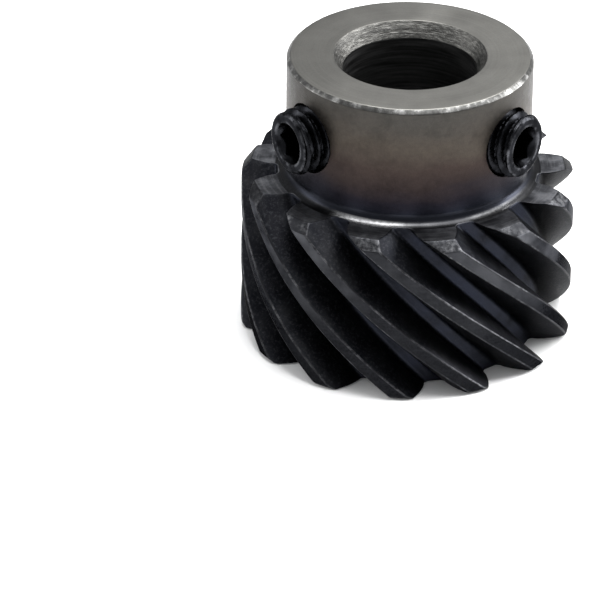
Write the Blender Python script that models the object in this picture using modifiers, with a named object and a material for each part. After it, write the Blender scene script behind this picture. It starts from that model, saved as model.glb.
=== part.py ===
"""A left-hand helical gear with a turned hub, and the two set screws that clamp it to a shaft.

The gear stands on its plain end face: +Z runs up its axis, through the hub, and the origin is the
centre of that end face. The front of the gear is at -Y. An azimuth is measured about the axis from
the front, positive towards +X.
"""

import math

import bmesh
import bpy
from mathutils import Matrix

MM = 0.001

# Teeth: an involute form, cut by a standard hob in the normal plane.
TEETH = 13
OUTSIDE_DIAMETER = 30.0 * MM
HELIX_ANGLE = math.radians(47.0)
PRESSURE_ANGLE = math.radians(20.0)
DEDENDUM_RATIO = 1.25
ROOT_FILLET = 0.55 * MM
FACE_WIDTH = 15.6 * MM
UPPER_CHAMFER = 0.85 * MM
LOWER_CHAMFER = 0.3 * MM
TOOTH_AZIMUTH = math.radians(-15.8)

# Hub and bore.
HUB_DIAMETER = 22.0 * MM
HUB_LENGTH = 11.2 * MM
HUB_CHAMFER = 0.35 * MM
HUB_FILLET = 0.7 * MM
BORE_DIAMETER = 12.0 * MM
MOUTH_DIAMETER = 13.7 * MM
MOUTH_DEPTH = 1.35 * MM
LOWER_MOUTH_DEPTH = 0.5 * MM

# M6 set screws, 6 mm long, with a hexagon socket and a cup point.
SCREW_DIAMETER = 6.0 * MM
SCREW_LENGTH = 6.0 * MM
SCREW_END_CHAMFER = 0.35 * MM
CUP_DIAMETER = 3.0 * MM
CUP_DEPTH = 0.6 * MM
SOCKET_ACROSS_FLATS = 3.0 * MM
SOCKET_DEPTH = 3.0 * MM
SOCKET_MOUTH_DIAMETER = 3.9 * MM
SCREW_BELOW_HUB_FACE = 5.3 * MM
HOLE_CLEARANCE = 0.3 * MM
SCREWS = {
    "set_screw_left": {"azimuth": math.radians(-55.0), "stands_out": 2.0 * MM},
    "set_screw_right": {"azimuth": math.radians(55.0), "stands_out": 1.6 * MM},
}

# How finely round shapes are cut into flats.
GEAR_SEGMENTS = 72
HUB_SEGMENTS = 72
SCREW_SEGMENTS = 32
TWIST_STEPS = 12
FILLET_STEPS = 2
SHARP_EDGE = math.radians(30.0)
CUTTER_OVERRUN = 1.0 * MM
MERGE_DISTANCE = 0.00001

TOTAL_HEIGHT = FACE_WIDTH + HUB_LENGTH
OUTSIDE_RADIUS = OUTSIDE_DIAMETER / 2
HUB_RADIUS = HUB_DIAMETER / 2
BORE_RADIUS = BORE_DIAMETER / 2
SCREW_RADIUS = SCREW_DIAMETER / 2

NORMAL_MODULE = OUTSIDE_DIAMETER / (TEETH / math.cos(HELIX_ANGLE) + 2)
PITCH_RADIUS = OUTSIDE_RADIUS - NORMAL_MODULE
ROOT_RADIUS = PITCH_RADIUS - DEDENDUM_RATIO * NORMAL_MODULE
TRANSVERSE_ANGLE = math.atan(math.tan(PRESSURE_ANGLE) / math.cos(HELIX_ANGLE))
BASE_RADIUS = PITCH_RADIUS * math.cos(TRANSVERSE_ANGLE)
TWIST_PER_METRE = math.tan(HELIX_ANGLE) / PITCH_RADIUS


def clear_scene():
    for old in list(bpy.data.objects):
        bpy.data.objects.remove(old, do_unlink=True)
    for old in list(bpy.data.collections):
        bpy.data.collections.remove(old)


def new_collection(name):
    collection = bpy.data.collections.new(name)
    bpy.context.scene.collection.children.link(collection)
    return collection


def new_material(name, colour, roughness, metallic):
    material = bpy.data.materials.new(name)
    material.use_nodes = True
    shader = material.node_tree.nodes["Principled BSDF"]
    shader.inputs["Base Color"].default_value = (*colour, 1.0)
    shader.inputs["Roughness"].default_value = roughness
    shader.inputs["Metallic"].default_value = metallic
    return material


def new_object(name, mesh, collection):
    made = bpy.data.objects.new(name, mesh)
    collection.objects.link(made)
    return made


def make_helper(helper):
    """Leaves a cutter or another helper out of renders."""
    helper.hide_render = True
    helper.display_type = "WIRE"


def turned(name, profile, segments, collection):
    """A solid turned about Z. The profile of (radius, height) points runs from its top to its bottom."""
    mesh = bpy.data.meshes.new(name)
    points = [(radius, 0.0, height) for radius, height in profile]
    mesh.from_pydata(points, [(i, i + 1) for i in range(len(points) - 1)], [])
    solid = new_object(name, mesh, collection)
    screw = solid.modifiers.new("Turn", "SCREW")
    screw.steps = segments
    screw.render_steps = segments
    screw.use_merge_vertices = True
    screw.merge_threshold = MERGE_DISTANCE
    return solid


def boolean(target, operation, tool):
    """Adds a Boolean to the target and hides the tool."""
    modifier = target.modifiers.new(f"{operation.title()} {tool.name}", "BOOLEAN")
    modifier.operation = operation
    modifier.solver = "EXACT"
    modifier.object = tool
    make_helper(tool)


def apply_modifiers(target):
    """Turns the object into its finished mesh, shaded smooth between its real edges."""
    bpy.context.view_layer.update()
    graph = bpy.context.evaluated_depsgraph_get()
    mesh = bpy.data.meshes.new_from_object(target.evaluated_get(graph))
    target.modifiers.clear()
    target.data = mesh
    mesh.shade_smooth()
    mesh.set_sharp_from_angle(angle=SHARP_EDGE)


def involute(angle):
    return math.tan(angle) - angle


def tooth_half_angle(radius):
    """Half of the angle that a tooth covers at this radius."""
    at_pitch = math.pi / (2 * TEETH) + involute(TRANSVERSE_ANGLE)
    return at_pitch - involute(math.acos(min(1.0, BASE_RADIUS / radius)))


def space_side():
    """(half-angle, radius) points up one side of the space between two teeth, from the root floor."""
    middle = ROOT_RADIUS + ROOT_FILLET
    half_width = middle * (math.pi / TEETH - tooth_half_angle(middle))
    points = []
    for step in range(FILLET_STEPS):
        turn = math.pi / 2 * step / FILLET_STEPS
        across = half_width - ROOT_FILLET * (1 - math.sin(turn))
        radius = middle - ROOT_FILLET * math.cos(turn)
        points.append((across / radius, radius))
    beyond_tip = OUTSIDE_RADIUS + 0.3 * MM
    for radius in (middle, PITCH_RADIUS + ROOT_FILLET, beyond_tip):
        points.append((math.pi / TEETH - tooth_half_angle(radius), radius))
    return points


def gear_outline():
    """The gear's cross-section, anticlockwise from above, with its first tooth at azimuth 0."""
    side = space_side()
    outline = []
    for tooth in range(TEETH):
        space = (tooth + 0.5) * 2 * math.pi / TEETH
        for half_angle, radius in reversed(side):
            outline.append((space - half_angle, radius))
        for half_angle, radius in side:
            outline.append((space + half_angle, radius))
    return [(r * math.sin(a), -r * math.cos(a)) for a, r in outline]


def toothed_bar(collection):
    """The helical teeth as a twisted bar, longer than the gear at both ends and over its tips."""
    length = FACE_WIDTH + 2 * CUTTER_OVERRUN
    twist = length * TWIST_PER_METRE
    start_azimuth = TOOTH_AZIMUTH + (FACE_WIDTH + CUTTER_OVERRUN) * TWIST_PER_METRE
    form = bmesh.new()
    corners = [form.verts.new((x, y, -CUTTER_OVERRUN)) for x, y in gear_outline()]
    section = form.faces.new(corners)
    bmesh.ops.rotate(form, verts=corners, matrix=Matrix.Rotation(start_azimuth, 3, "Z"))
    bmesh.ops.spin(
        form,
        geom=[section, *section.edges, *section.verts],
        axis=(0, 0, 1),
        dvec=(0, 0, length / TWIST_STEPS),
        angle=-twist,
        steps=TWIST_STEPS,
    )
    bmesh.ops.triangulate(form, faces=[f for f in form.faces if len(f.verts) == 4])
    bmesh.ops.recalc_face_normals(form, faces=form.faces)
    mesh = bpy.data.meshes.new("toothed_bar")
    form.to_mesh(mesh)
    form.free()
    return new_object("toothed_bar", mesh, collection)


def gear_blank(collection):
    profile = [
        (0, FACE_WIDTH),
        (OUTSIDE_RADIUS - UPPER_CHAMFER, FACE_WIDTH),
        (OUTSIDE_RADIUS, FACE_WIDTH - UPPER_CHAMFER),
        (OUTSIDE_RADIUS, LOWER_CHAMFER),
        (OUTSIDE_RADIUS - LOWER_CHAMFER, 0),
        (0, 0),
    ]
    return turned("gear_blank", profile, GEAR_SEGMENTS, collection)


def hub(collection):
    """The hub, with a fillet where it meets the teeth and a root inside the gear."""
    profile = [
        (0, TOTAL_HEIGHT),
        (HUB_RADIUS - HUB_CHAMFER, TOTAL_HEIGHT),
        (HUB_RADIUS, TOTAL_HEIGHT - HUB_CHAMFER),
    ]
    for step in range(FILLET_STEPS + 1):
        turn = math.pi / 2 * step / FILLET_STEPS
        out = HUB_FILLET * (1 - math.cos(turn))
        up = HUB_FILLET * (1 - math.sin(turn))
        profile.append((HUB_RADIUS + out, FACE_WIDTH + up))
    profile.append((HUB_RADIUS + HUB_FILLET, FACE_WIDTH - CUTTER_OVERRUN))
    profile.append((0, FACE_WIDTH - CUTTER_OVERRUN))
    return turned("hub", profile, HUB_SEGMENTS, collection)


def bore(collection):
    """The shaft bore with both of its chamfered mouths, longer than the gear at both ends."""
    flare = (MOUTH_DIAMETER / 2 - BORE_RADIUS) / MOUTH_DEPTH
    upper_radius = MOUTH_DIAMETER / 2 + flare * CUTTER_OVERRUN
    lower_radius = BORE_RADIUS + LOWER_MOUTH_DEPTH + CUTTER_OVERRUN
    profile = [
        (0, TOTAL_HEIGHT + CUTTER_OVERRUN),
        (upper_radius, TOTAL_HEIGHT + CUTTER_OVERRUN),
        (BORE_RADIUS, TOTAL_HEIGHT - MOUTH_DEPTH),
        (BORE_RADIUS, LOWER_MOUTH_DEPTH),
        (lower_radius, -CUTTER_OVERRUN),
        (0, -CUTTER_OVERRUN),
    ]
    return turned("bore", profile, HUB_SEGMENTS, collection)


def screw_frame(azimuth, radius):
    """A frame on a set screw's axis, this far from the gear's axis, with its Z pointing outwards."""
    height = TOTAL_HEIGHT - SCREW_BELOW_HUB_FACE
    centre = (radius * math.sin(azimuth), -radius * math.cos(azimuth), height)
    outwards = Matrix.Rotation(azimuth, 4, "Z") @ Matrix.Rotation(math.pi / 2, 4, "X")
    return Matrix.Translation(centre) @ outwards


def screw_hole(name, azimuth, collection):
    """A radial hole from inside the bore to outside the hub."""
    radius = SCREW_RADIUS + HOLE_CLEARANCE
    profile = [(0, HUB_RADIUS), (radius, HUB_RADIUS), (radius, 0), (0, 0)]
    hole = turned(f"{name}_hole", profile, SCREW_SEGMENTS, collection)
    hole.matrix_world = screw_frame(azimuth, BORE_RADIUS - 2 * CUTTER_OVERRUN)
    return hole


def gear(collection, cutters):
    """The teeth and the hub in one piece, bored through, with its two screw holes."""
    blank = gear_blank(cutters)
    made = toothed_bar(collection)
    made.name = "gear"
    boolean(made, "INTERSECT", blank)
    boolean(made, "UNION", hub(cutters))
    boolean(made, "DIFFERENCE", bore(cutters))
    for name, place in SCREWS.items():
        boolean(made, "DIFFERENCE", screw_hole(name, place["azimuth"], cutters))
    apply_modifiers(made)
    made.data.materials.append(new_material("black_oxide_steel", (0.05, 0.05, 0.055), 0.45, 0.9))
    return made


def hexagon_socket(name, frame, cutters):
    """The socket's six-sided hole, and the cone that opens its mouth, as two cutters."""
    form = bmesh.new()
    corner_radius = SOCKET_ACROSS_FLATS / math.sqrt(3)
    bmesh.ops.create_cone(
        form,
        cap_ends=True,
        segments=6,
        radius1=corner_radius,
        radius2=corner_radius,
        depth=2 * SOCKET_DEPTH,
    )
    mesh = bpy.data.meshes.new(f"{name}_socket")
    form.to_mesh(mesh)
    form.free()
    socket = new_object(f"{name}_socket", mesh, cutters)
    socket.matrix_world = frame
    mouth_radius = SOCKET_MOUTH_DIAMETER / 2
    profile = [
        (0, CUTTER_OVERRUN),
        (mouth_radius + CUTTER_OVERRUN, CUTTER_OVERRUN),
        (0, -mouth_radius),
    ]
    mouth = turned(f"{name}_mouth", profile, SCREW_SEGMENTS, cutters)
    mouth.matrix_world = frame
    return socket, mouth


def set_screw(name, azimuth, stands_out, material, collection, cutters):
    """A set screw whose outer end is its local Z = 0. Its thread is a plain cylinder here."""
    profile = [
        (0, 0),
        (SCREW_RADIUS - SCREW_END_CHAMFER, 0),
        (SCREW_RADIUS, -SCREW_END_CHAMFER),
        (SCREW_RADIUS, -SCREW_LENGTH + SCREW_END_CHAMFER),
        (SCREW_RADIUS - SCREW_END_CHAMFER, -SCREW_LENGTH),
        (CUP_DIAMETER / 2, -SCREW_LENGTH),
        (0, -SCREW_LENGTH + CUP_DEPTH),
    ]
    made = turned(name, profile, SCREW_SEGMENTS, collection)
    made.matrix_world = screw_frame(azimuth, HUB_RADIUS + stands_out)
    for cutter in hexagon_socket(name, made.matrix_world, cutters):
        boolean(made, "DIFFERENCE", cutter)
    apply_modifiers(made)
    made.data.materials.append(material)
    return made


def main():
    clear_scene()
    parts = new_collection("helical_gear")
    cutters = new_collection("cutters")
    gear(parts, cutters)
    screw_steel = new_material("screw_steel", (0.02, 0.02, 0.022), 0.35, 0.9)
    for name, place in SCREWS.items():
        set_screw(name, place["azimuth"], place["stands_out"], screw_steel, parts, cutters)


main()
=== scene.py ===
"""The looks of the helical gear and its two set screws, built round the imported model.

The gear is one fine mesh: every row of points runs once round the gear's axis, and the rows follow
each other from the bore, over the lower end face, up the twisted teeth, and over the hub back into
the bore. An azimuth is measured about the axis from the front, -Y, positive towards +X.
"""

import math

import bmesh
import bpy
import numpy as np
from mathutils import Matrix, Vector


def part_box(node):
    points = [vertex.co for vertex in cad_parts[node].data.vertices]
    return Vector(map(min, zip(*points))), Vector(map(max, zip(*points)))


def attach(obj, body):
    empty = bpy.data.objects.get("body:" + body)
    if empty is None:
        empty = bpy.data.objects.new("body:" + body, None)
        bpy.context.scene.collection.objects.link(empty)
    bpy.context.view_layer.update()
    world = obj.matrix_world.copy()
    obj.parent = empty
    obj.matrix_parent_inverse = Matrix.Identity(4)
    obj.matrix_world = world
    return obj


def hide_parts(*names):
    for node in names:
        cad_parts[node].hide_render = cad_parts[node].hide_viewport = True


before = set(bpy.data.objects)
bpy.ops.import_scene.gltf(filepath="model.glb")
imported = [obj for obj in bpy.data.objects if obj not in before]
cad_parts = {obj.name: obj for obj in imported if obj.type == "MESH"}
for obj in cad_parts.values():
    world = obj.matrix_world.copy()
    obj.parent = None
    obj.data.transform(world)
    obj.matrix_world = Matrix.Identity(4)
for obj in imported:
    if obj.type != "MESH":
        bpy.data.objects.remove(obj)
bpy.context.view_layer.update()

MM = 0.001

# The gear, as in part.py. Its height and outside radius come from the frame.
gear_low, gear_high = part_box("gear")
TOTAL_HEIGHT = gear_high.z - gear_low.z
BOX_CLEARANCE = 0.005 * MM
OUTSIDE_RADIUS = gear_high.x - BOX_CLEARANCE
TEETH = 13
HELIX_ANGLE = math.radians(47.0)
PRESSURE_ANGLE = math.radians(20.0)
DEDENDUM_RATIO = 1.25
ROOT_FILLET = 0.55 * MM
FACE_WIDTH = 15.6 * MM
UPPER_CHAMFER = 0.85 * MM
LOWER_CHAMFER = 0.3 * MM
TOOTH_AZIMUTH = math.radians(-15.8)
TIP_ROUND = 0.14 * MM
EDGE_ROUND = 0.07 * MM
CHAMFER_ROUND = 0.05 * MM

HUB_RADIUS = 11.0 * MM
HUB_CHAMFER = 0.35 * MM
HUB_FILLET = 0.95 * MM
HUB_ROUND = 0.08 * MM
BORE_RADIUS = 6.0 * MM
MOUTH_RADIUS = 6.85 * MM
MOUTH_DEPTH = 1.35 * MM
LOWER_MOUTH_DEPTH = 0.5 * MM

SCREW_RADIUS = 2.97 * MM
SCREW_LENGTH = 6.0 * MM
SCREW_END_CHAMFER = 0.35 * MM
SCREW_ROUND = 0.12 * MM
THREAD_PITCH = 1.0 * MM
THREAD_DEPTH = 0.55 * MM
THREAD_CREST = 0.12
THREAD_SLOPE = 0.6
CUP_RADIUS = 1.5 * MM
CUP_DEPTH = 0.6 * MM
CUP_RIM_RADIUS = 1.9 * MM
INNER_END_RADIUS = 1.95 * MM
SOCKET_ACROSS_FLATS = 3.0 * MM
SOCKET_DEPTH = 3.0 * MM
SOCKET_FLOOR_DIP = 0.25 * MM
SOCKET_MOUTH_RADIUS = 1.95 * MM
SOCKET_MOUTH_SLOPE = 1.5
SOCKET_LIP = 0.3
SCREW_BELOW_HUB_FACE = 5.3 * MM
SCREWS = {
    "set_screw_left": (math.radians(-55.0), 2.0 * MM, "left_screw"),
    "set_screw_right": (math.radians(55.0), 1.6 * MM, "right_screw"),
}
HOLE_RADIUS = 3.05 * MM
HOLE_GROOVE = 0.22 * MM
HOLE_MOUTH_RADIUS = 3.12 * MM
HOLE_FLARE = 0.25
HOLE_START = 4.6 * MM
HOLE_END = HUB_RADIUS + 0.8 * MM

NORMAL_MODULE = OUTSIDE_RADIUS * 2 / (TEETH / math.cos(HELIX_ANGLE) + 2)
PITCH_RADIUS = OUTSIDE_RADIUS - NORMAL_MODULE
ROOT_RADIUS = PITCH_RADIUS - DEDENDUM_RATIO * NORMAL_MODULE
TRANSVERSE_ANGLE = math.atan(math.tan(PRESSURE_ANGLE) / math.cos(HELIX_ANGLE))
BASE_RADIUS = PITCH_RADIUS * math.cos(TRANSVERSE_ANGLE)
TWIST_PER_METRE = math.tan(HELIX_ANGLE) / PITCH_RADIUS
TOOTH_PITCH = 2 * math.pi / TEETH

# Columns of the gear mesh, for half a tooth and half the space beside it.
LAND_STEPS = 2
TIP_STEPS = 4
FLANK_STEPS = 6
FILLET_STEPS = 5
FLOOR_STEPS = 2

# Rows of the gear mesh, and of the holes and screws.
HALF_FACE_ROWS = 24
FOOT_RING_ROWS = 9
FOOT_RING_SHARE = 0.86
LONGEST_STEP = 0.8 * MM
ROUND_COLUMNS = 96
HOLE_ROWS_PER_PITCH = 14
SCREW_ROWS_PER_PITCH = 24
QUARTERS = (0.0, 0.25, 0.5, 0.75, 1.0)
GEAR_SHARP_ANGLE = 28
SCREW_SHARP_ANGLE = 35

# The gear's finishes, in the order of its material slots.
FINISHES = (
    "flank", "land", "edge", "end_face", "foot_ring",
    "hub_side", "hub_edge", "hub_face", "mouth", "bore", "hole",
)


# ---------------------------------------------------------------- meshes


def grid_mesh(name, rows, materials, zones=None, closed=False):
    """A mesh of quads over rows of points, each row once round an axis. Open ends close in a point."""
    rows = np.asarray(rows, float)
    count, width = rows.shape[:2]
    form = bmesh.new()
    grid = [[form.verts.new(point) for point in row] for row in rows]
    last = count if closed else count - 1
    for i in range(last):
        below, above = grid[i], grid[(i + 1) % count]
        for j in range(width):
            k = (j + 1) % width
            face = form.faces.new((below[j], below[k], above[k], above[j]))
            face.material_index = int(zones[i, j]) if zones is not None else 0
    if not closed:
        for row, at in ((grid[0], 0), (grid[-1], -1)):
            pole = form.verts.new(rows[at].mean(axis=0))
            for j in range(width):
                face = form.faces.new((row[j], row[(j + 1) % width], pole))
                face.material_index = int(zones[at, j]) if zones is not None else 0
    bmesh.ops.recalc_face_normals(form, faces=form.faces)
    mesh = bpy.data.meshes.new(name)
    form.to_mesh(mesh)
    form.free()
    for material in materials:
        mesh.materials.append(material)
    made = bpy.data.objects.new(name, mesh)
    bpy.context.scene.collection.objects.link(made)
    return made


def smooth_shading(target, degrees):
    target.data.shade_smooth()
    target.data.set_sharp_from_angle(angle=math.radians(degrees))


def rounded_profile(corners, rounding, step):
    """The polyline through (radius, height) corners, with each corner rounded and long runs divided."""
    corners = [Vector(c) for c in corners]
    points = [corners[0]]
    for before, corner, after in zip(corners, corners[1:], corners[2:]):
        reach = min(rounding, (corner - before).length / 2, (after - corner).length / 2)
        start = corner + (before - corner).normalized() * reach
        end = corner + (after - corner).normalized() * reach
        for t in QUARTERS:
            points.append(start.lerp(corner, t).lerp(corner.lerp(end, t), t))
    points.append(corners[-1])
    divided = [points[0]]
    for start, end in zip(points, points[1:]):
        parts = max(1, math.ceil((end - start).length / step))
        divided += [start.lerp(end, i / parts) for i in range(1, parts + 1)]
    return divided


# ---------------------------------------------------------------- the gear


def involute(angle):
    return math.tan(angle) - angle


def tooth_half_angle(radius):
    at_pitch = math.pi / (2 * TEETH) + involute(TRANSVERSE_ANGLE)
    return at_pitch - involute(math.acos(min(1.0, BASE_RADIUS / radius)))


def half_tooth(tip_radius):
    """(angle, radius, finish) from a tooth's centre line to the middle of the space beside it."""
    flank_lean = math.acos(min(1.0, BASE_RADIUS / tip_radius))
    tip_angle = tooth_half_angle(tip_radius)
    land_end = tip_angle - TIP_ROUND / tip_radius
    flank_start = tip_radius - TIP_ROUND * math.cos(flank_lean)
    points = [(land_end * i / LAND_STEPS, tip_radius, "land") for i in range(LAND_STEPS)]
    for step in range(TIP_STEPS):
        t = step / TIP_STEPS
        first, middle, last = (1 - t) ** 2, 2 * t * (1 - t), t**2
        angle = first * land_end + middle * tip_angle + last * tooth_half_angle(flank_start)
        radius = first * tip_radius + middle * tip_radius + last * flank_start
        points.append((angle, radius, "edge"))
    fillet_end = ROOT_RADIUS + ROOT_FILLET
    for step in range(FLANK_STEPS):
        radius = flank_start + (fillet_end - flank_start) * step / FLANK_STEPS
        points.append((tooth_half_angle(radius), radius, "flank"))
    half_width = fillet_end * (math.pi / TEETH - tooth_half_angle(fillet_end))
    for step in range(FILLET_STEPS + 1):
        turn = math.pi / 2 * (1 - step / FILLET_STEPS)
        across = half_width - ROOT_FILLET * (1 - math.sin(turn))
        radius = fillet_end - ROOT_FILLET * math.cos(turn)
        points.append((math.pi / TEETH - across / radius, radius, "flank"))
    floor_start = points[-1][0]
    for step in range(1, FLOOR_STEPS + 1):
        angle = floor_start + (math.pi / TEETH - floor_start) * step / FLOOR_STEPS
        points.append((angle, ROOT_RADIUS, "flank"))
    return points


def tooth_ring(tip_radius, inset):
    """Angles and radii once round the teeth, with the surface set back by inset."""
    half = half_tooth(tip_radius)
    cell = [(-a, r) for a, r, _ in half[-2:0:-1]] + [(a, r) for a, r, _ in half]
    cell = np.array(cell)
    turns = np.arange(TEETH)[:, None] * TOOTH_PITCH
    angles = (cell[:, 0][None, :] + turns).ravel()
    radii = np.tile(cell[:, 1], TEETH)
    x, y = radii * np.sin(angles), -radii * np.cos(angles)
    along_x, along_y = np.roll(x, -1) - np.roll(x, 1), np.roll(y, -1) - np.roll(y, 1)
    length = np.hypot(along_x, along_y)
    x -= inset * along_y / length
    y += inset * along_x / length
    fresh = np.arctan2(x, -y)
    fresh += 2 * math.pi * np.round((angles - fresh) / (2 * math.pi))
    return fresh, np.hypot(x, y)


def ring_finishes():
    """The finish of each column of quads round the teeth."""
    half = [finish for _, _, finish in half_tooth(OUTSIDE_RADIUS)]
    return (half[-3::-1] + half) * TEETH


def end_distances(chamfer):
    """Distances from an end face at which the teeth have a row, to the middle of the face width."""
    rounded = [EDGE_ROUND * (1 - math.cos(math.radians(t))) for t in (22, 45, 68, 90)]
    sloped = [EDGE_ROUND + (chamfer - EDGE_ROUND) * share for share in (0.25, 0.5, 0.75, 0.85, 0.93, 1.0)]
    past_chamfer = [chamfer + 0.04 * MM, chamfer + 0.1 * MM]
    start = chamfer + 0.2 * MM
    middle = FACE_WIDTH / 2
    even = [start + (middle - start) * i / HALF_FACE_ROWS for i in range(HALF_FACE_ROWS + 1)]
    return [0.0] + rounded + sloped + past_chamfer + even


def tooth_rows():
    """Rows (heights, angles, radii, chamfered) up the teeth, twisted along the left-hand helix."""
    lower = [(d, d, LOWER_CHAMFER) for d in end_distances(LOWER_CHAMFER)]
    upper = [(FACE_WIDTH - d, d, UPPER_CHAMFER) for d in reversed(end_distances(UPPER_CHAMFER)[:-1])]
    rows = []
    for height, from_end, chamfer in lower + upper:
        cut = chamfer - from_end
        cut = 0.5 * (cut + math.hypot(cut, CHAMFER_ROUND))
        turn = math.acos(min(1.0, 1 - from_end / EDGE_ROUND)) if from_end < EDGE_ROUND else math.pi / 2
        inset = EDGE_ROUND * (1 - math.sin(turn))
        angles, radii = tooth_ring(OUTSIDE_RADIUS - cut, inset)
        angles = angles + TOOTH_AZIMUTH + (FACE_WIDTH - height) * TWIST_PER_METRE
        rows.append((np.full(len(angles), height), angles, radii, from_end < chamfer))
    return rows


def fillet_height(radius):
    """Height above the upper end face of the fillet at the hub's foot."""
    across = np.clip(HUB_RADIUS + HUB_FILLET - radius, 0, HUB_FILLET)
    return HUB_FILLET - np.sqrt(HUB_FILLET**2 - across**2)


def toothed_rows(teeth):
    """The teeth's own rows, each with the finish of every column."""
    columns = ring_finishes()
    rows = []
    for heights, angles, radii, chamfered in teeth:
        land = "edge" if chamfered else "land"
        rows.append([heights, angles, radii, [land if f == "land" else f for f in columns]])
    rows[-1][0] = FACE_WIDTH + fillet_height(teeth[-1][2])
    rows[-1][3] = ["end_face"] * len(columns)
    return rows


def foot_rows(angles, outline):
    """Rows over the upper end face, from the teeth's outline to the hub, up the fillet at its foot."""
    foot = np.minimum(HUB_RADIUS + HUB_FILLET, HUB_RADIUS + FOOT_RING_SHARE * (outline - HUB_RADIUS))
    rows = []
    for share in (0.8, 0.5, 0.2):
        radii = foot + (outline - foot) * share
        rows.append([FACE_WIDTH + fillet_height(radii), angles, radii, ["end_face"] * len(angles)])
    for step in range(FOOT_RING_ROWS):
        turn = math.pi / 2 * (1 - step / FOOT_RING_ROWS)
        radii = HUB_RADIUS + (foot - HUB_RADIUS) * (1 - math.cos(turn))
        rows.append([FACE_WIDTH + fillet_height(radii), angles, radii, ["foot_ring"] * len(angles)])
    return rows


def hub_finish(radius, height):
    """The finish of the surface that starts at this point of the hub's profile."""
    if radius < MOUTH_RADIUS and height < TOTAL_HEIGHT - MOUTH_DEPTH + HUB_ROUND / 4:
        return "bore"
    if radius < MOUTH_RADIUS + HUB_ROUND / 2:
        return "mouth"
    if radius < HUB_RADIUS - HUB_CHAMFER + HUB_ROUND / 2:
        return "hub_face"
    if height > TOTAL_HEIGHT - HUB_CHAMFER - HUB_ROUND / 2:
        return "hub_edge"
    return "hub_side"


def hub_rows(top_angles, bottom_angles):
    """Rows up the hub, over its face and down the bore, where the columns untwist to the lower end's.

    The profile's last point is left out: the lower end face starts there.
    """
    corners = [
        (HUB_RADIUS, FACE_WIDTH + HUB_FILLET),
        (HUB_RADIUS, TOTAL_HEIGHT - HUB_CHAMFER),
        (HUB_RADIUS - HUB_CHAMFER, TOTAL_HEIGHT),
        (MOUTH_RADIUS, TOTAL_HEIGHT),
        (BORE_RADIUS, TOTAL_HEIGHT - MOUTH_DEPTH),
        (BORE_RADIUS, LOWER_MOUTH_DEPTH),
        (BORE_RADIUS + LOWER_MOUTH_DEPTH, 0),
    ]
    bore_length = TOTAL_HEIGHT - MOUTH_DEPTH
    rows = []
    for radius, height in rounded_profile(corners, HUB_ROUND, LONGEST_STEP)[:-1]:
        finish = hub_finish(radius, height)
        down_bore = max(0.0, (bore_length - height) / bore_length) if finish == "bore" else 0.0
        angles = top_angles + (bottom_angles - top_angles) * down_bore
        width = len(angles)
        rows.append([np.full(width, height), angles, np.full(width, radius), [finish] * width])
    return rows


def lower_face_rows(angles, outline):
    """Rows over the lower end face, from the bore's mouth to near the teeth's outline."""
    mouth = BORE_RADIUS + LOWER_MOUTH_DEPTH
    width = len(angles)
    return [
        [np.zeros(width), angles, mouth + (outline - mouth) * share, ["end_face"] * width]
        for share in (0.0, 0.25, 0.6, 0.92)
    ]


def gear_surface():
    """All the rows of the gear, as (heights, angles, radii, finishes)."""
    teeth = tooth_rows()
    bottom_angles, bottom_radii = teeth[0][1], teeth[0][2]
    top_angles, top_radii = teeth[-1][1], teeth[-1][2]
    return (
        toothed_rows(teeth)
        + foot_rows(top_angles, top_radii)
        + hub_rows(top_angles, bottom_angles)
        + lower_face_rows(bottom_angles, bottom_radii)
    )


def screw_frame(azimuth, radius):
    """A frame on a set screw's axis, this far from the gear's axis, with its Z pointing outwards."""
    height = TOTAL_HEIGHT - SCREW_BELOW_HUB_FACE
    centre = (radius * math.sin(azimuth), -radius * math.cos(azimuth), height)
    outwards = Matrix.Rotation(azimuth, 4, "Z") @ Matrix.Rotation(math.pi / 2, 4, "X")
    return Matrix.Translation(centre) @ outwards


def thread_share(height, angle):
    """0 on the crest of a right-hand thread and 1 at its root, by height and angle on the screw's axis."""
    turn = height / THREAD_PITCH - angle / (2 * math.pi)
    away = np.abs((turn % 1.0) - 0.5) * 2
    return np.clip((away - THREAD_CREST) / THREAD_SLOPE, 0, 1)


def round_row(angles, radii, heights):
    """Points once round the Z axis."""
    return np.stack([radii * np.cos(angles), radii * np.sin(angles), heights + 0 * angles], -1)


def threaded_hole(name, azimuth, finish):
    """The cutter for a tapped hole: it runs from inside the bore to outside the hub."""
    angles = np.arange(ROUND_COLUMNS) * 2 * math.pi / ROUND_COLUMNS
    mouth_at = math.sqrt(HUB_RADIUS**2 - HOLE_MOUTH_RADIUS**2)
    rows = []
    for height in np.arange(HOLE_START, HOLE_END, THREAD_PITCH / HOLE_ROWS_PER_PITCH):
        depth = min(1.0, max(0.0, (mouth_at - height) / THREAD_PITCH))
        radii = HOLE_RADIUS + HOLE_GROOVE * depth * (1 - thread_share(height, angles))
        radii = np.maximum(radii, HOLE_MOUTH_RADIUS + (height - mouth_at) * HOLE_FLARE)
        rows.append(round_row(angles, radii, height))
    cutter = grid_mesh(name, rows, [], zones=np.full((len(rows), ROUND_COLUMNS), finish))
    cutter.matrix_world = screw_frame(azimuth, 0)
    return cutter


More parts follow.
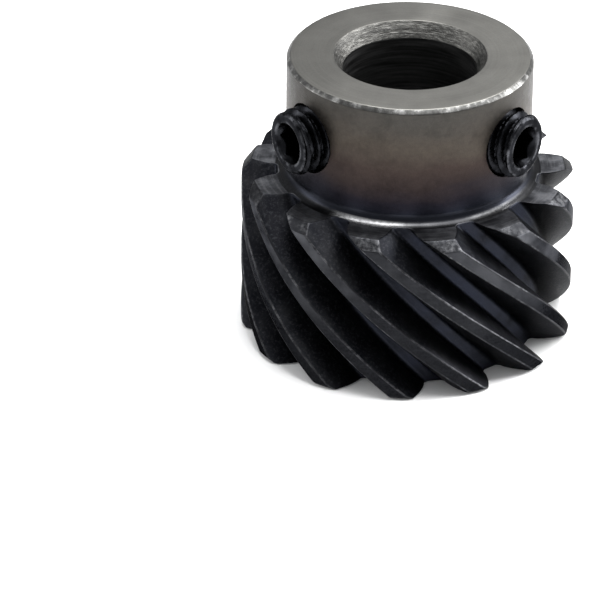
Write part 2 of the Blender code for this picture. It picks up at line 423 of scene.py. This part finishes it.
def build_gear(materials):
    rows = gear_surface()
    points = [
        np.stack([radii * np.sin(angles), -radii * np.cos(angles), heights + 0 * radii], -1)
        for heights, angles, radii, _ in rows
    ]
    zones = np.array([[FINISHES.index(f) for f in finishes] for _, _, _, finishes in rows])
    gear = grid_mesh("helical_gear", points, materials, zones, closed=True)
    for name, (azimuth, _, _) in SCREWS.items():
        cutter = threaded_hole(f"{name}_hole", azimuth, FINISHES.index("hole"))
        cut = gear.modifiers.new(cutter.name, "BOOLEAN")
        cut.operation = "DIFFERENCE"
        cut.solver = "EXACT"
        cut.object = cutter
    bpy.context.view_layer.update()
    graph = bpy.context.evaluated_depsgraph_get()
    mesh = bpy.data.meshes.new_from_object(gear.evaluated_get(graph))
    for modifier in list(gear.modifiers):
        bpy.data.objects.remove(modifier.object)
    gear.modifiers.clear()
    gear.data = mesh
    smooth_shading(gear, GEAR_SHARP_ANGLE)
    return gear


# ---------------------------------------------------------------- the set screws


def hexagon_radius(angles):
    """The socket's radius at these angles."""
    sixth = math.pi / 3
    return SOCKET_ACROSS_FLATS / 2 / np.cos(angles % sixth - sixth / 2)


def smooth_least(first, second):
    """The smaller of two radii, rounded over where they meet."""
    return 0.5 * (first + second - np.hypot(first - second, SCREW_ROUND))


def build_screw(name, azimuth, stands_out, material):
    """A set screw whose outer end is its local Z = 0, with its thread, socket and cup."""
    angles = np.arange(ROUND_COLUMNS) * 2 * math.pi / ROUND_COLUMNS
    hexagon = hexagon_radius(angles)
    rows = []

    def add(radii, heights):
        rows.append(round_row(angles, radii, heights))

    for share in (0.05, 0.5, 0.93):
        add(hexagon * share, -SOCKET_DEPTH - SOCKET_FLOOR_DIP * (1 - share))
    wall_top = -(SOCKET_MOUTH_RADIUS - hexagon) * SOCKET_MOUTH_SLOPE
    for share in (0.0, 0.03, 0.3, 0.6, 0.85, 0.97):
        add(hexagon, -SOCKET_DEPTH + (wall_top + SOCKET_DEPTH) * share)
    for share in (0.06, 0.35, 0.6):
        add(hexagon + (SOCKET_MOUTH_RADIUS - hexagon) * share, wall_top * (1 - share))
    for t in QUARTERS:
        lip = hexagon + (SOCKET_MOUTH_RADIUS - hexagon) * (1 - SOCKET_LIP * (1 - t))
        add(lip + SCREW_ROUND * t * t, wall_top * SOCKET_LIP * (1 - t) ** 2)
    face_radius = SCREW_RADIUS - SCREW_END_CHAMFER
    for t in QUARTERS:
        add(face_radius + SCREW_ROUND * (2 * t - 1), -SCREW_ROUND * t * t)
    first_depth, last_depth = SCREW_ROUND + 0.02 * MM, SCREW_LENGTH - 0.01 * MM
    for depth in np.arange(first_depth, last_depth, THREAD_PITCH / SCREW_ROWS_PER_PITCH):
        threaded = SCREW_RADIUS - THREAD_DEPTH * thread_share(-depth, angles)
        outer_cone = face_radius + depth
        inner_cone = INNER_END_RADIUS + SCREW_LENGTH - depth
        add(smooth_least(threaded, min(outer_cone, inner_cone)), -depth)
    add(CUP_RIM_RADIUS, -SCREW_LENGTH)
    for radius_share, depth_share in ((1.0, 0.0), (0.9, 0.12), (0.4, 0.62), (0.05, 1.0)):
        add(CUP_RADIUS * radius_share, -SCREW_LENGTH + CUP_DEPTH * depth_share)
    screw = grid_mesh(f"{name}_body", rows, [material])
    screw.matrix_world = screw_frame(azimuth, HUB_RADIUS + stands_out)
    smooth_shading(screw, SCREW_SHARP_ANGLE)
    return screw


# ---------------------------------------------------------------- materials


class Finish:
    """One procedural material, built node by node.

    Its coordinates are the object's own, in millimetres: on the gear, the height is above the lower end
    face and the azimuth is from the front. A screw's are about its own axis, from its outer end.
    """

    def __init__(self, name, metallic=1.0, grazing=1.0):
        self.material = bpy.data.materials.new(name)
        self.material.use_nodes = True
        self.nodes = self.material.node_tree.nodes
        self.links = self.material.node_tree.links
        self.shader = self.nodes["Principled BSDF"]
        self.shader.inputs["Metallic"].default_value = metallic
        self.shader.inputs["Specular Tint"].default_value = (grazing, grazing, grazing, 1.0)
        where = self.node("ShaderNodeTexCoord").outputs["Object"]
        in_millimetres = self.node("ShaderNodeVectorMath", operation="SCALE", Vector=where, Scale=1 / MM)
        self.place = in_millimetres.outputs[0]
        split = self.node("ShaderNodeSeparateXYZ", Vector=self.place)
        self.x, self.y, self.height = split.outputs
        x_squared, y_squared = self.math("MULTIPLY", self.x, self.x), self.math("MULTIPLY", self.y, self.y)
        self.radius = self.math("SQRT", self.math("ADD", x_squared, y_squared))
        self.azimuth = self.math("ARCTAN2", self.x, self.math("MULTIPLY", self.y, -1.0))

    def node(self, kind, operation=None, **inputs):
        """A new node, with its inputs linked or set by name."""
        made = self.nodes.new(kind)
        if operation:
            made.operation = operation
        for name, value in inputs.items():
            self.put(made.inputs[name], value)
        return made

    def put(self, socket, value):
        """Links a socket into this one, or sets it to a number or a colour."""
        if isinstance(value, bpy.types.NodeSocket):
            self.links.new(value, socket)
        elif isinstance(value, tuple) and socket.type == "RGBA":
            socket.default_value = (*value, 1.0)
        else:
            socket.default_value = value

    def math(self, operation, first, second=0.0, clamp=False):
        made = self.nodes.new("ShaderNodeMath")
        made.operation = operation
        made.use_clamp = clamp
        self.put(made.inputs[0], first)
        self.put(made.inputs[1], second)
        return made.outputs[0]

    def drawn_out(self, round_the_axis, along):
        """A texture place with this much detail round the axis, and this much along radius and height."""
        made = self.nodes.new("ShaderNodeCombineXYZ")
        self.put(made.inputs["X"], self.math("MULTIPLY", self.x, round_the_axis))
        self.put(made.inputs["Y"], self.math("MULTIPLY", self.y, round_the_axis))
        self.put(made.inputs["Z"], self.math("MULTIPLY", self.math("ADD", self.radius, self.height), along))
        return made.outputs[0]

    def noise(self, scale, detail=3.0, roughness=0.55, at=None):
        made = self.node("ShaderNodeTexNoise", Vector=at or self.place, Scale=scale)
        made.inputs["Detail"].default_value = detail
        made.inputs["Roughness"].default_value = roughness
        return made.outputs[0]

    def ramp(self, value, *stops):
        """A colour ramp through (position, colour) stops."""
        made = self.node("ShaderNodeValToRGB", Fac=value)
        elements = made.color_ramp.elements
        while len(elements) < len(stops):
            elements.new(0.5)
        for element, (position, colour) in zip(elements, stops):
            element.position = position
            element.color = (*colour, 1.0)
        return made.outputs["Color"]

    def span(self, value, low, high, to_low=0.0, to_high=1.0):
        """The value carried from the first range to the second, and held at its ends."""
        made = self.nodes.new("ShaderNodeMapRange")
        for socket, part in zip(made.inputs, (value, low, high, to_low, to_high)):
            self.put(socket, part)
        return made.outputs["Result"]

    def mix(self, share, first, second, blend="MIX"):
        made = self.nodes.new("ShaderNodeMix")
        made.data_type = "RGBA"
        made.blend_type = blend
        self.put(made.inputs["Factor"], share)
        self.put(made.inputs["A"], first)
        self.put(made.inputs["B"], second)
        return made.outputs["Result"]

    def all_round(self):
        """The azimuth as a share of a turn: 0 at the back, 0.25 at the left, 0.5 at the front."""
        return self.span(self.azimuth, -math.pi, math.pi)

    def band(self, value, middle):
        """1 close to the middle, falling to 0 a fifth of a millimetre away."""
        away = self.math("ABSOLUTE", self.math("SUBTRACT", value, middle))
        return self.math("SUBTRACT", 1.0, self.span(away, 0.05, 0.2))

    def finish(self, colour, roughness, *bumps):
        """Sets the shader's colour and roughness, and its bump from (height, strength, distance) layers."""
        self.put(self.shader.inputs["Base Color"], colour)
        self.put(self.shader.inputs["Roughness"], roughness)
        normal = None
        for height, strength, distance in bumps:
            bump = self.node("ShaderNodeBump", Height=height, Strength=strength, Distance=distance)
            if normal:
                self.links.new(normal, bump.inputs["Normal"])
            normal = bump.outputs["Normal"]
        if normal:
            self.links.new(normal, self.shader.inputs["Normal"])
        return self.material


def grey(value, blue=0.0):
    """A linear grey, bluish by this share, or brownish when it is negative."""
    return (value * (1 - 0.25 * blue), value, value * (1 + blue))


def flank_material():
    f = Finish("oxide_flank", grazing=0.5)
    patches = f.noise(0.4, detail=4)
    grain = f.noise(4.0, detail=5, roughness=0.75)
    colour = f.ramp(patches, (0.3, grey(0.006, 0.3)), (0.5, grey(0.011, 0.2)), (0.7, grey(0.02, 0.1)))
    colour = f.mix(f.span(grain, 0.5, 0.75, 0.0, 0.7), colour, grey(0.05, 0.1))
    # Painted reflection: a bluish, lighter tint in noise patches near the root radius, standing in for the
    # surroundings mirrored in the concave root.
    painted_root_reflection = f.math("MULTIPLY", f.span(f.radius, 12.1, 11.8), f.span(patches, 0.3, 0.65), clamp=True)
    colour = f.mix(painted_root_reflection, colour, grey(0.017, 0.42))
    roughness = f.span(grain, 0.3, 0.7, 0.38, 0.55)
    return f.finish(colour, roughness, (grain, 0.3, 0.00004), (patches, 0.2, 0.0001))


def land_material():
    f = Finish("land_wear_and_painted_sheen", grazing=0.35)
    turned = f.noise(1.0, detail=4, at=f.drawn_out(0.25, 5.0))
    grain = f.noise(5.0, detail=5, roughness=0.75)
    patches = f.noise(0.3, detail=3)
    colour = f.ramp(turned, (0.3, grey(0.004, 0.18)), (0.55, grey(0.007, 0.16)), (0.75, grey(0.012, 0.14)))
    colour = f.mix(f.span(grain, 0.4, 0.75, 0.0, 0.7), colour, grey(0.026, 0.12))
    # Bright patches: wear broken up by noise, with a painted sheen that grows towards the top of the teeth,
    # from 5 to 15 mm. The painted sheen on the lands at the front is a quarter as strong as on the lands
    # towards the sides.
    high = f.math("MULTIPLY", f.span(f.height, 5.0, 15.0), f.span(patches, 0.3, 0.6))
    painted_side_sheen = f.span(f.math("ABSOLUTE", f.azimuth), 0.2, 0.7, 0.25, 1.0)
    colour = f.mix(f.math("MULTIPLY", high, painted_side_sheen, clamp=True), colour, grey(0.075, 0.1))
    roughness = f.span(grain, 0.3, 0.7, 0.4, 0.6)
    return f.finish(colour, roughness, (turned, 0.3, 0.00004), (grain, 0.3, 0.00003))


def edge_material():
    f = Finish("worn_edge", grazing=0.5)
    grain = f.noise(2.4, detail=6, roughness=0.75)
    patches = f.noise(0.45, detail=3)
    wear = f.math("MULTIPLY", f.span(grain, 0.42, 0.62), f.span(patches, 0.38, 0.6), clamp=True)
    colour = f.mix(wear, grey(0.018, 0.12), grey(0.09, 0.06))
    return f.finish(colour, f.span(grain, 0.3, 0.7, 0.3, 0.48), (grain, 0.35, 0.00005))


def end_face_material():
    f = Finish("oxide_end_face", grazing=0.5)
    turned = f.noise(1.0, detail=4, at=f.drawn_out(0.15, 5.0))
    patches = f.noise(0.5, detail=4)
    grain = f.noise(3.0, detail=5, roughness=0.75)
    colour = f.ramp(patches, (0.35, grey(0.03, 0.12)), (0.5, grey(0.07, 0.1)), (0.65, grey(0.16, 0.08)))
    colour = f.mix(f.span(turned, 0.5, 0.7, 0.0, 0.5), colour, grey(0.2, 0.06))
    colour = f.mix(f.span(grain, 0.45, 0.7, 0.0, 0.4), colour, grey(0.02, 0.05))
    roughness = f.span(grain, 0.3, 0.7, 0.35, 0.5)
    return f.finish(colour, roughness, (turned, 0.3, 0.00004), (grain, 0.25, 0.00004))


def foot_ring_material():
    f = Finish("foot_ring_wear_and_painted_highlight", grazing=0.6)
    turned = f.noise(1.0, detail=3, at=f.drawn_out(0.2, 8.0))
    patches = f.noise(0.28, detail=2)
    grain = f.noise(3.0, detail=5, roughness=0.7)
    # Painted highlight: a bright arc on the fillet at the front left and a weaker one at the front right,
    # broken up by noise patches and then mixed with grain wear.
    painted_highlight = f.ramp(
        f.all_round(),
        (0.33, grey(0.0)), (0.40, grey(0.02)), (0.42, grey(1.0)), (0.47, grey(0.8)), (0.50, grey(0.1)),
        (0.56, grey(0.04)), (0.59, grey(0.18)), (0.65, grey(0.12)), (0.72, grey(0.0)),
    )
    painted_highlight = f.math("MULTIPLY", painted_highlight, f.span(patches, 0.2, 0.5), clamp=True)
    worn = f.mix(painted_highlight, grey(0.016, 0.1), grey(0.6, 0.02))
    worn = f.mix(f.span(grain, 0.4, 0.65, 0.0, 0.6), worn, grey(0.03, 0.08))
    # Above 15.8 to 16 mm the fillet turns a dark blue, so the painted highlight stays on the fillet's lower
    # part.
    colour = f.mix(f.span(f.height, 15.8, 16.0), worn, grey(0.014, 0.3))
    return f.finish(colour, f.span(turned, 0.3, 0.7, 0.25, 0.4), (turned, 0.3, 0.00004))


def hub_side_material():
    f = Finish("tempered_hub_side", grazing=0.8)
    drift = f.noise(1.0, detail=3, at=f.drawn_out(0.12, 0.35))
    level = f.math("ADD", f.height, f.math("MULTIPLY", f.math("SUBTRACT", drift, 0.5), 3.0))
    temper = f.ramp(
        f.span(level, 15.6, 26.8),
        (0.06, (0.0095, 0.0112, 0.0165)),
        (0.18, (0.0105, 0.0098, 0.0135)),
        (0.32, (0.0195, 0.0150, 0.0150)),
        (0.45, (0.0285, 0.0215, 0.0195)),
        (0.62, (0.043, 0.0365, 0.031)),
        (0.80, (0.039, 0.0355, 0.032)),
        (1.00, (0.038, 0.0365, 0.034)),
    )
    speckle = f.noise(1.6, detail=6, roughness=0.8)
    stain = f.noise(0.5, detail=5, roughness=0.7)
    lighter = f.mix(1.0, temper, (1.6, 1.57, 1.52), "MULTIPLY")
    darker = f.mix(1.0, temper, (0.6, 0.6, 0.6), "MULTIPLY")
    colour = f.mix(f.span(speckle, 0.42, 0.72, 0.0, 0.7), temper, lighter)
    colour = f.mix(f.span(stain, 0.5, 0.7, 0.0, 0.6), colour, darker)
    # Painted shade: the hub's side is darkened to two thirds from the back round to the left, lifting
    # towards the front left.
    painted_left_shade = f.span(f.azimuth, math.radians(-75), math.radians(-28), 0.66, 1.0)
    colour = f.mix(1.0, colour, painted_left_shade, "MULTIPLY")
    turned = f.noise(1.0, detail=4, at=f.drawn_out(0.15, 9.0))
    roughness = f.span(speckle, 0.3, 0.7, 0.36, 0.52)
    return f.finish(colour, roughness, (turned, 0.25, 0.00004), (speckle, 0.3, 0.00005))


def hub_edge_material():
    f = Finish("bright_hub_edge", grazing=0.9)
    nicks = f.noise(1.0, detail=5, roughness=0.7, at=f.drawn_out(1.1, 2.0))
    colour = f.ramp(nicks, (0.38, grey(0.05, -0.03)), (0.52, grey(0.09, -0.03)), (0.68, grey(0.3, -0.02)))
    return f.finish(colour, f.span(nicks, 0.3, 0.7, 0.3, 0.42), (nicks, 0.5, 0.00005))


def hub_face_material():
    f = Finish("turned_hub_face", grazing=0.9)
    turned = f.noise(1.0, detail=4, at=f.drawn_out(0.1, 7.0))
    cloud = f.noise(0.3, detail=4)
    grain = f.noise(5.0, detail=5, roughness=0.75)
    colour = f.ramp(cloud, (0.3, grey(0.115, -0.07)), (0.55, grey(0.145, -0.07)), (0.75, grey(0.17, -0.07)))
    colour = f.mix(f.span(turned, 0.4, 0.7, 0.0, 0.25), colour, grey(0.21, -0.06))
    colour = f.mix(f.span(grain, 0.5, 0.75, 0.0, 0.4), colour, grey(0.105, -0.07))
    # Painted reflection and shade: a bright wedge at the back right and a slightly lighter one at the front
    # left, with the left darkened to about three quarters.
    painted_reflection_and_shade = f.ramp(
        f.all_round(),
        (0.0, grey(0.95)), (0.20, grey(0.76)), (0.33, grey(0.76)), (0.44, grey(1.06)), (0.50, grey(1.0)),
        (0.70, grey(1.0)), (0.92, grey(1.0)), (0.965, grey(1.3)), (1.0, grey(0.95)),
    )
    colour = f.mix(1.0, colour, painted_reflection_and_shade, "MULTIPLY")
    roughness = f.span(grain, 0.3, 0.7, 0.36, 0.5)
    return f.finish(colour, roughness, (turned, 0.15, 0.00003), (grain, 0.2, 0.00003))


def mouth_material():
    f = Finish("rough_bore_mouth", grazing=0.8)
    chatter = f.noise(1.0, detail=6, roughness=0.75, at=f.drawn_out(1.4, 4.0))
    rings = f.noise(1.0, detail=2, at=f.drawn_out(0.1, 4.0))
    colour = f.ramp(chatter, (0.36, grey(0.04, -0.05)), (0.5, grey(0.08, -0.05)), (0.66, grey(0.19, -0.05)))
    colour = f.mix(f.span(rings, 0.5, 0.62, 0.0, 0.6), colour, grey(0.05, -0.03))
    roughness = f.span(chatter, 0.3, 0.7, 0.32, 0.5)
    return f.finish(colour, roughness, (rings, 0.5, 0.0001), (chatter, 0.6, 0.0001))


def bore_material():
    f = Finish("dark_bore", grazing=0.3)
    turned = f.noise(1.0, detail=4, at=f.drawn_out(0.25, 5.0))
    colour = f.ramp(turned, (0.35, grey(0.04)), (0.7, grey(0.08)))
    return f.finish(colour, f.span(turned, 0.3, 0.7, 0.4, 0.6), (turned, 0.25, 0.00004))


def hole_material():
    f = Finish("oxide_screw_hole", grazing=0.3)
    grain = f.noise(4.0, detail=4)
    colour = f.ramp(grain, (0.35, grey(0.006)), (0.7, grey(0.02)))
    return f.finish(colour, f.span(grain, 0.3, 0.7, 0.4, 0.6), (grain, 0.2, 0.00003))


def screw_material():
    f = Finish("black_oxide_screw", grazing=0.5)
    grain = f.noise(2.5, detail=4, roughness=0.6)
    patches = f.noise(0.8, detail=3)
    colour = f.ramp(patches, (0.35, grey(0.006, 0.15)), (0.65, grey(0.015, 0.15)))
    lip_and_rim = f.math("MAXIMUM", f.band(f.radius, 2.0), f.band(f.radius, 2.7))
    worn = f.math("MULTIPLY", lip_and_rim, f.span(patches, 0.42, 0.6), clamp=True)
    at_face = f.span(f.height, -0.4, -0.2)
    colour = f.mix(f.math("MULTIPLY", worn, at_face, clamp=True), colour, grey(0.06, 0.1))
    return f.finish(colour, f.span(grain, 0.3, 0.7, 0.2, 0.36), (grain, 0.15, 0.00004))


def floor_material():
    f = Finish("pale_floor", metallic=0.0)
    grain = f.noise(0.15, detail=4)
    colour = f.ramp(grain, (0.3, grey(0.88)), (0.7, grey(0.91)))
    return f.finish(colour, f.span(grain, 0.3, 0.7, 0.6, 0.7))


def gear_materials():
    makers = {
        "flank": flank_material,
        "land": land_material,
        "edge": edge_material,
        "end_face": end_face_material,
        "foot_ring": foot_ring_material,
        "hub_side": hub_side_material,
        "hub_edge": hub_edge_material,
        "hub_face": hub_face_material,
        "mouth": mouth_material,
        "bore": bore_material,
        "hole": hole_material,
    }
    return [makers[name]() for name in FINISHES]


# ---------------------------------------------------------------- stage, light and camera


FLOOR_HALF_SIZE = 4.0
FLOOR_GAP = 0.1 * MM

WORLD_COLOUR = (0.98, 0.99, 1.0, 1.0)
WORLD_STRENGTH = 0.72
LIGHTS = {
    "overhead": {"place": (0.10, 0.05, 0.45), "size": (0.45, 0.45), "power": 5.5},
    "left": {"place": (-0.40, 0.04, 0.14), "size": (0.10, 0.25), "power": 0.7},
    "right": {"place": (0.40, 0.12, 0.14), "size": (0.16, 0.30), "power": 3.0},
}

# The camera looks at a point on the axis, one hub radius below the hub's face. The picture's middle is
# off that point by this much to the right and up, in metres.
CAMERA_ELEVATION = math.radians(27.96)
CAMERA_DISTANCE = 0.4509
CAMERA_ROLL = math.radians(-1.13)
CAMERA_LENS = 300.9
PICTURE_MIDDLE = Vector((-0.00971, -0.01224))


def add_floor():
    form = bmesh.new()
    bmesh.ops.create_grid(form, x_segments=8, y_segments=8, size=FLOOR_HALF_SIZE)
    mesh = bpy.data.meshes.new("floor")
    form.to_mesh(mesh)
    form.free()
    mesh.materials.append(floor_material())
    floor = bpy.data.objects.new("floor", mesh)
    floor.location.z = gear_low.z - FLOOR_GAP
    bpy.context.scene.collection.objects.link(floor)


def add_light(name, place, size, power):
    """A rectangular soft light aimed at the middle of the gear."""
    light = bpy.data.lights.new(name, "AREA")
    light.shape = "RECTANGLE"
    light.size, light.size_y = size
    light.energy = power
    lamp = bpy.data.objects.new(name, light)
    lamp.location = place
    aim = Vector((0, 0, TOTAL_HEIGHT / 2)) - Vector(place)
    lamp.rotation_euler = aim.to_track_quat("-Z", "Y").to_euler()
    bpy.context.scene.collection.objects.link(lamp)


def add_lights():
    world = bpy.data.worlds.new("studio")
    world.use_nodes = True
    background = world.node_tree.nodes["Background"]
    background.inputs["Color"].default_value = WORLD_COLOUR
    background.inputs["Strength"].default_value = WORLD_STRENGTH
    bpy.context.scene.world = world
    for name, light in LIGHTS.items():
        add_light(name, **light)


def add_camera():
    """Looks at the gear from the front. The picture's middle lies below and to the left of the gear."""
    backwards = Vector((0, -math.cos(CAMERA_ELEVATION), math.sin(CAMERA_ELEVATION)))
    right = Vector((1, 0, 0))
    up = backwards.cross(right)
    turn = Matrix.Rotation(-CAMERA_ROLL, 3, backwards)
    right, up = turn @ right, turn @ up
    aim = Vector((0, 0, TOTAL_HEIGHT - HUB_RADIUS))
    place = aim + backwards * CAMERA_DISTANCE
    middle = aim + right * PICTURE_MIDDLE.x + up * PICTURE_MIDDLE.y
    backwards = (place - middle).normalized()
    right = up.cross(backwards).normalized()
    up = backwards.cross(right)
    lens = bpy.data.cameras.new("camera")
    lens.lens = CAMERA_LENS
    lens.sensor_width = 36.0
    lens.clip_start, lens.clip_end = 0.01, 10.0
    camera = bpy.data.objects.new("camera", lens)
    camera.matrix_world = Matrix.Translation(place) @ Matrix((right, up, backwards)).transposed().to_4x4()
    bpy.context.scene.collection.objects.link(camera)
    bpy.context.scene.camera = camera


def main():
    bpy.context.scene.view_settings.view_transform = "Standard"
    gear = build_gear(gear_materials())
    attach(gear, "gear")
    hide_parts("gear")
    steel = screw_material()
    for name, (azimuth, stands_out, body) in SCREWS.items():
        screw = build_screw(name, azimuth, stands_out, steel)
        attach(screw, body)
        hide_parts(name)
    add_floor()
    add_lights()
    add_camera()


main()
